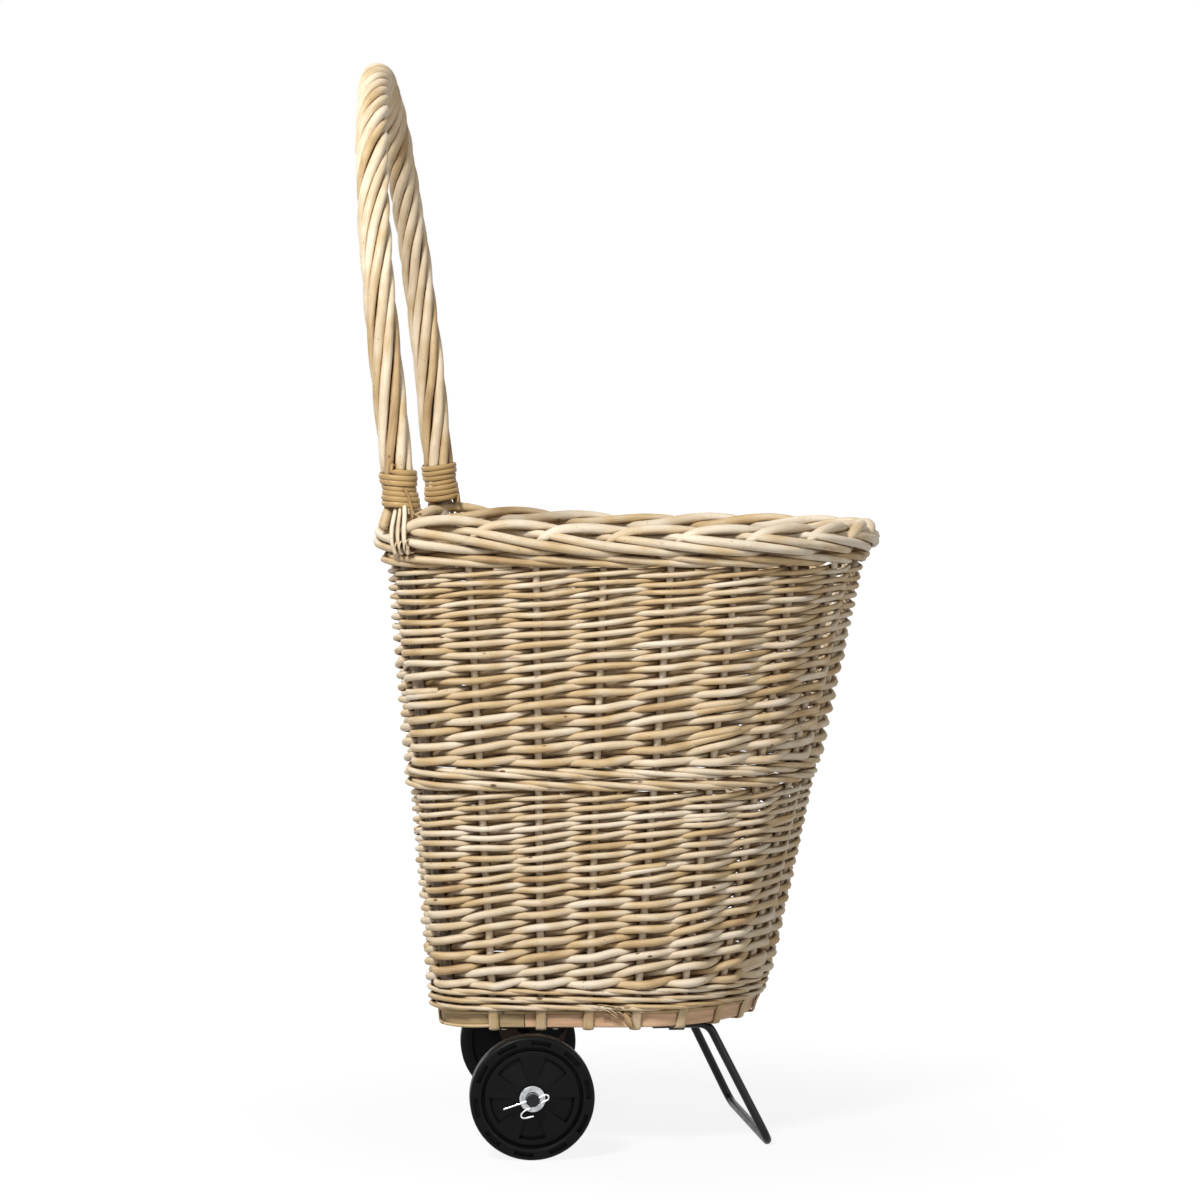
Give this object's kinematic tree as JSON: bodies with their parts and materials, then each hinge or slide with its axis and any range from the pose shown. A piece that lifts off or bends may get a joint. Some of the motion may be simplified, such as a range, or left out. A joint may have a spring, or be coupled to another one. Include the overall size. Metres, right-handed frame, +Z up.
{
  "type": "fireside log cart",
  "caption": "Woven willow log basket with a rounded front, a tall twisted willow bow handle, a pair of plastic wheels on a steel axle and a bent steel rod leg.",
  "frame": {"origin": "on the floor, under the middle of the cart's bounding box", "axes": "+Z up; +Y towards the back, where the handle and the wheels are; -Y towards the rounded front and the leg; X across the cart, nearly along the axle"},
  "size_m": [0.4082, 0.497, 1.0163],
  "materials": {
    "wale_willow": "peeled willow rods, cream to tan, satin",
    "woven_willow": "woven peeled willow, cream to tan with darker gaps",
    "handle_willow": "peeled willow rods laid in a twist, pale cream, satin",
    "stake_willow": "peeled willow stakes, tan",
    "bow_bark": "grey-brown stick with its bark on",
    "binding_cane": "golden split cane, slightly glossy",
    "base_board": "plain plywood",
    "base_strip": "pinkish-brown split wood strip",
    "wheel_plastic": "black moulded plastic, satin",
    "leg_steel": "black painted steel",
    "bracket_steel": "dark brown painted steel",
    "zinc_steel": "bright zinc plate",
    "spring_wire": "bright spring wire"
  },
  "bodies": {
    "root": {"base_board": "base_board", "base_band_front": "base_strip", "base_band_back": "base_strip", "stake_01": "stake_willow", "stake_02": "stake_willow", "stake_03": "stake_willow", "stake_04": "stake_willow", "stake_05": "stake_willow", "stake_06": "stake_willow", "stake_07": "stake_willow", "stake_08": "stake_willow", "stake_09": "stake_willow", "stake_10": "stake_willow", "stake_11": "stake_willow", "stake_12": "stake_willow", "stake_13": "stake_willow", "stake_14": "stake_willow", "stake_15": "stake_willow", "stake_16": "stake_willow", "stake_17": "stake_willow", "stake_18": "stake_willow", "stake_19": "stake_willow", "stake_20": "stake_willow", "stake_21": "stake_willow", "bottom_wale": "wale_willow", "lower_weave": "woven_willow", "middle_wale": "wale_willow", "upper_weave": "woven_willow", "top_wale": "wale_willow", "border": "wale_willow", "handle_bow": "bow_bark", "handle_rod_1": "handle_willow", "handle_rod_2": "handle_willow", "handle_rod_3": "handle_willow", "handle_rod_4": "handle_willow", "handle_rod_5": "handle_willow", "handle_rod_6": "handle_willow", "handle_rod_7": "handle_willow", "binding_right": "binding_cane", "binding_left": "binding_cane", "axle": "zinc_steel", "axle_bracket_right": "bracket_steel", "axle_bracket_left": "bracket_steel", "washer_right": "zinc_steel", "washer_left": "zinc_steel", "axle_clip_right": "spring_wire", "axle_clip_left": "spring_wire", "bracket_screw_1": "zinc_steel", "bracket_screw_2": "zinc_steel", "bracket_screw_3": "zinc_steel", "bracket_screw_4": "zinc_steel", "leg_rod": "leg_steel", "leg_saddle_right": "leg_steel", "leg_saddle_left": "leg_steel", "saddle_screw_1": "zinc_steel", "saddle_screw_2": "zinc_steel", "saddle_screw_3": "zinc_steel", "saddle_screw_4": "zinc_steel"},
    "wheel_right": {"wheel_right": "wheel_plastic"},
    "wheel_left": {"wheel_left": "wheel_plastic"}
  },
  "joints": [
    {"name": "wheel_right_spin", "type": "hinge", "parent": "root", "child": "wheel_right", "pos_m": [-0.17284, 0.08422, 0.0575], "axis": [0.9984, 0.0569, 0], "continuous": true},
    {"name": "wheel_left_spin", "type": "hinge", "parent": "root", "child": "wheel_left", "pos_m": [0.1706, 0.10378, 0.0575], "axis": [0.9984, 0.0569, 0], "continuous": true}
  ]
}
